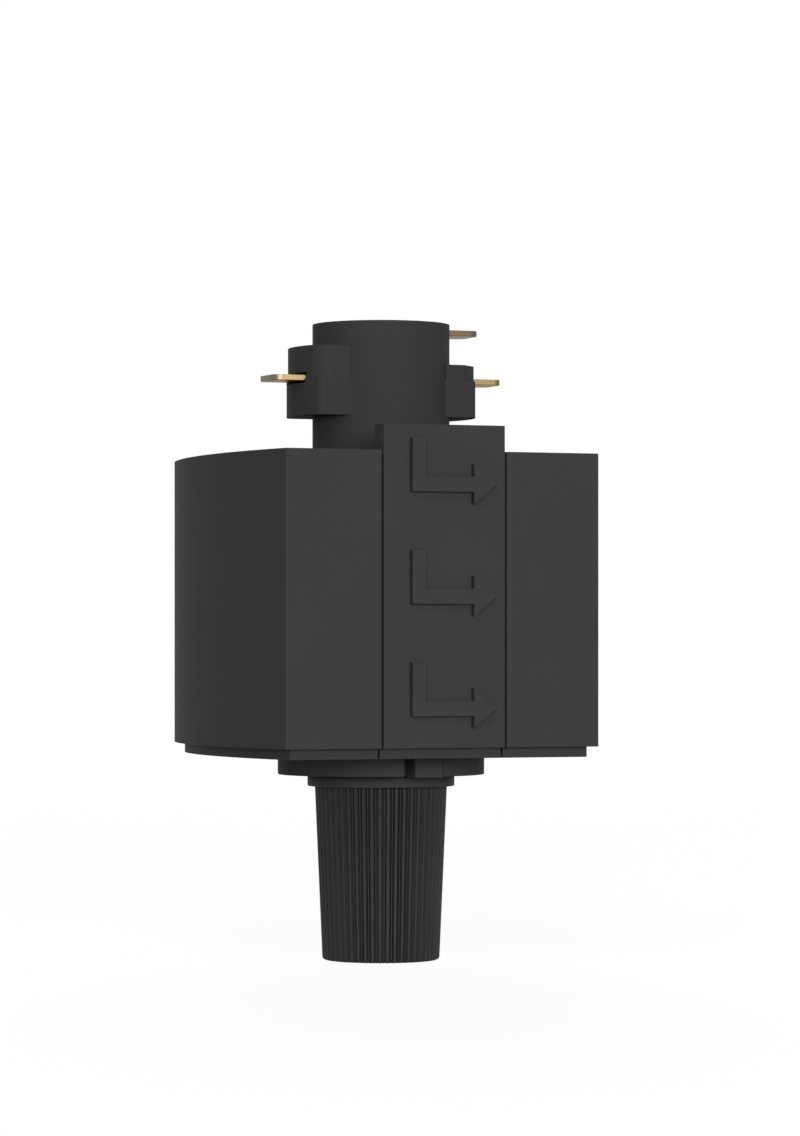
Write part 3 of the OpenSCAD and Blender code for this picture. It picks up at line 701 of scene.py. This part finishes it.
# Cap
# The long tapered cap of the cord grip: a smooth collar, then fine upright ribs to the bottom
# edge, with a narrow ridge in each groove. Inside are its thread bore and the tube that presses
# on the washer. Its sizes are in mm.
rib_count, first_groove = 50, math.radians(-1)
groove_depth, grip_top, grip_low = 0.62, 7.1, 6.3
cap_top, collar_low, cap_low, cap_edge = -34.15, -35.25, -53.9, 0.3
collar_radius, bore_radius, tube_radius, hole_radius = 7.9, 5.28, 3.95, 3.3
collar_edge, collar_bow = 0.12, 0.035
bore_floor, tube_top = -43.0, -40.5
grip_levels = (collar_low, -38.5, -42.5, -46.5, -50.5, cap_low + cap_edge)
# From a groove's middle, which is the ridge's top: how far aside, and how much of the depth.
rib_outline = ((0.0, 0.03), (0.045, 0.05), (0.055, 0.2), (0.07, 0.95), (0.09, 1.0),
               (0.205, 1.0), (0.23, 0.95), (0.25, 0.15), (0.275, 0.0))


def grip_radius(z):
    """The radius over the ribs at this height."""
    share = (z - cap_low - cap_edge) / (collar_low - cap_low - cap_edge)
    return grip_low + (grip_top - grip_low) * share


def cap_sector():
    """One rib with half a groove on each side, as a wedge that closes on itself from in to out."""
    half_pitch = math.pi / rib_count
    half_width = half_pitch * (grip_top + grip_low) / 2
    samples = [(out / half_width, depth) for out, depth in rib_outline]
    samples += [(2 - share, depth) for share, depth in reversed(samples)]
    collar = [(bore_radius, cap_top), (collar_radius - collar_edge, cap_top),
              (collar_radius - collar_bow, cap_top - collar_bow),
              (collar_radius, cap_top - collar_edge), (collar_radius, collar_low + collar_edge),
              (collar_radius - collar_bow, collar_low + collar_bow),
              (collar_radius - collar_edge, collar_low)]
    grip = [(grip_radius(z), z) for z in grip_levels]
    grip += [(grip_low - 0.1, cap_low + 0.09), (grip_low - cap_edge, cap_low)]
    inside = [(hole_radius + cap_edge, cap_low), (hole_radius + 0.08, cap_low + 0.1),
              (hole_radius, cap_low + cap_edge), (hole_radius, tube_top),
              (tube_radius, tube_top), (tube_radius, bore_floor), (bore_radius, bore_floor)]
    work = bmesh.new()
    columns = []
    for share, depth in samples:
        angle = first_groove + share * half_pitch
        cut = [(min(radius, grip_radius(max(z, grip_levels[-1])) - groove_depth * depth), z)
               for radius, z in grip]
        columns.append([work.verts.new((radius * MM * math.cos(angle),
                                        radius * MM * math.sin(angle), z * MM))
                        for radius, z in collar + cut + inside])
    for left, right in zip(columns, columns[1:]):
        for here in range(len(left)):
            there = (here + 1) % len(left)
            work.faces.new((left[here], left[there], right[there], right[here]))
    mesh = bpy.data.meshes.new("cap sector")
    work.to_mesh(mesh)
    work.free()
    return mesh


def ribbed_tree():
    """Nodes that set a sector round the axis once for each rib and weld them to one shell."""
    tree, given = new_tree("ribbed cap", {
        "Sector": "Object", "Ribs": "Int", "Weld": "Float", "Finish": "Material"})
    sector = new_node(tree, "GeometryNodeObjectInfo", {"Object": given["Sector"]})
    seats = new_node(tree, "GeometryNodeMeshLine",
                     {"Count": given["Ribs"], "Offset": (0, 0, 0)}, mode="OFFSET")
    index = new_node(tree, "GeometryNodeInputIndex").outputs["Index"]
    share = number(tree, "DIVIDE", index, given["Ribs"])
    turn = new_node(tree, "ShaderNodeCombineXYZ",
                    {"Z": number(tree, "MULTIPLY", share, 2 * math.pi)})
    ring = new_node(tree, "GeometryNodeInstanceOnPoints", {
        "Points": seats.outputs["Mesh"], "Instance": sector.outputs["Geometry"],
        "Rotation": turn.outputs["Vector"]})
    end_tree(tree, ring.outputs["Instances"], given["Finish"], weld=given["Weld"])
    return tree


cap_black = eroded_plastic("cap_black", grey=0.039, roughness=0.6, grain=0.2)
sector = bpy.data.objects.new("cap sector", cap_sector())
bpy.context.scene.collection.objects.link(sector)
cap = grown(ribbed_tree(), {
    "Sector": sector, "Ribs": rib_count, "Weld": 0.002 * MM, "Finish": cap_black})
bpy.data.objects.remove(sector)
work = bmesh.new()
work.from_mesh(cap)
bmesh.ops.recalc_face_normals(work, faces=work.faces)
for face in work.faces:
    face.smooth = True
work.to_mesh(cap)
work.free()
cap.set_sharp_from_angle(angle=math.radians(50))
add_piece("ribbed_cap", cap, cap_black, "cap", "cap_plastic", "cord_cap")

# Studio
# A plain pale floor and surroundings that the camera and glossy surfaces see as white. One wide
# soft lamp lights the front, a weak one the left from above, and a weak one the back.
floor_reach = 1.8
lamp_aim = Vector((0, 0, -20 * MM))


def looked_at(tree):
    """1 for what the camera, a glossy surface or a clear one sees, and 0 for what only lights."""
    path = new_node(tree, "ShaderNodeLightPath").outputs
    through = number(tree, "MAXIMUM", path["Is Glossy Ray"], path["Is Transmission Ray"])
    return number(tree, "MAXIMUM", path["Is Camera Ray"], through)


def pale_ground(name):
    """White for the camera and in reflections, with a faint shadow; a pale matt board for light."""
    material = bpy.data.materials.new(name)
    material.use_nodes = True
    tree = material.node_tree
    tree.nodes.clear()
    board = new_node(tree, "ShaderNodeBsdfDiffuse", {"Color": (0.8, 0.8, 0.8, 1)}).outputs[0]
    glow = new_node(tree, "ShaderNodeEmission", {"Strength": 1.19}).outputs[0]
    white = new_node(tree, "ShaderNodeMixShader", {0: 0.77, 1: board, 2: glow}).outputs[0]
    choice = new_node(tree, "ShaderNodeMixShader", {0: looked_at(tree), 1: board, 2: white})
    new_node(tree, "ShaderNodeOutputMaterial", {"Surface": choice.outputs[0]})
    return material


corners = [(x * floor_reach, y * floor_reach, cap_low * MM)
           for x, y in ((-1, -1), (1, -1), (1, 1), (-1, 1))]
floor_mesh = bpy.data.meshes.new("floor")
floor_mesh.from_pydata(corners, [], [(0, 1, 2, 3)])
floor_mesh.materials.append(pale_ground("pale_ground"))
floor = bpy.data.objects.new("floor", floor_mesh)
bpy.context.scene.collection.objects.link(floor)

world = bpy.data.worlds.new("studio")
bpy.context.scene.world = world
world.use_nodes = True
room = world.node_tree
room.nodes.clear()
soft, white = [new_node(room, "ShaderNodeBackground",
                        {"Color": (1, 1, 1, 1), "Strength": strength}).outputs[0]
               for strength in (0.08, 1.0)]
walls = new_node(room, "ShaderNodeMixShader", {0: looked_at(room), 1: soft, 2: white})
new_node(room, "ShaderNodeOutputWorld", {"Surface": walls.outputs[0]})


def soft_lamp(name, azimuth, elevation, distance, width, height, level):
    """A soft box that faces the connector; level is how white it makes a white card there."""
    lamp = bpy.data.lights.new(name, "AREA")
    lamp.shape = "RECTANGLE"
    lamp.size = width
    lamp.size_y = height
    lamp.energy = level * math.pi * math.pi * distance * distance
    turn, rise = math.radians(azimuth), math.radians(elevation)
    back = Vector((math.sin(turn) * math.cos(rise), -math.cos(turn) * math.cos(rise),
                   math.sin(rise)))
    light = bpy.data.objects.new(name, lamp)
    light.location = lamp_aim + back * distance
    light.rotation_euler = (-back).to_track_quat("-Z", "Y").to_euler()
    bpy.context.scene.collection.objects.link(light)


soft_lamp("key_lamp", azimuth=-12, elevation=7.2, distance=3, width=2.2, height=0.8, level=0.83)
soft_lamp("top_lamp", azimuth=-30, elevation=40, distance=3, width=1.2, height=1.2, level=0.2)
soft_lamp("back_lamp", azimuth=160, elevation=30, distance=3, width=1.2, height=1.2, level=0.3)
bpy.context.scene.view_settings.view_transform = "Standard"
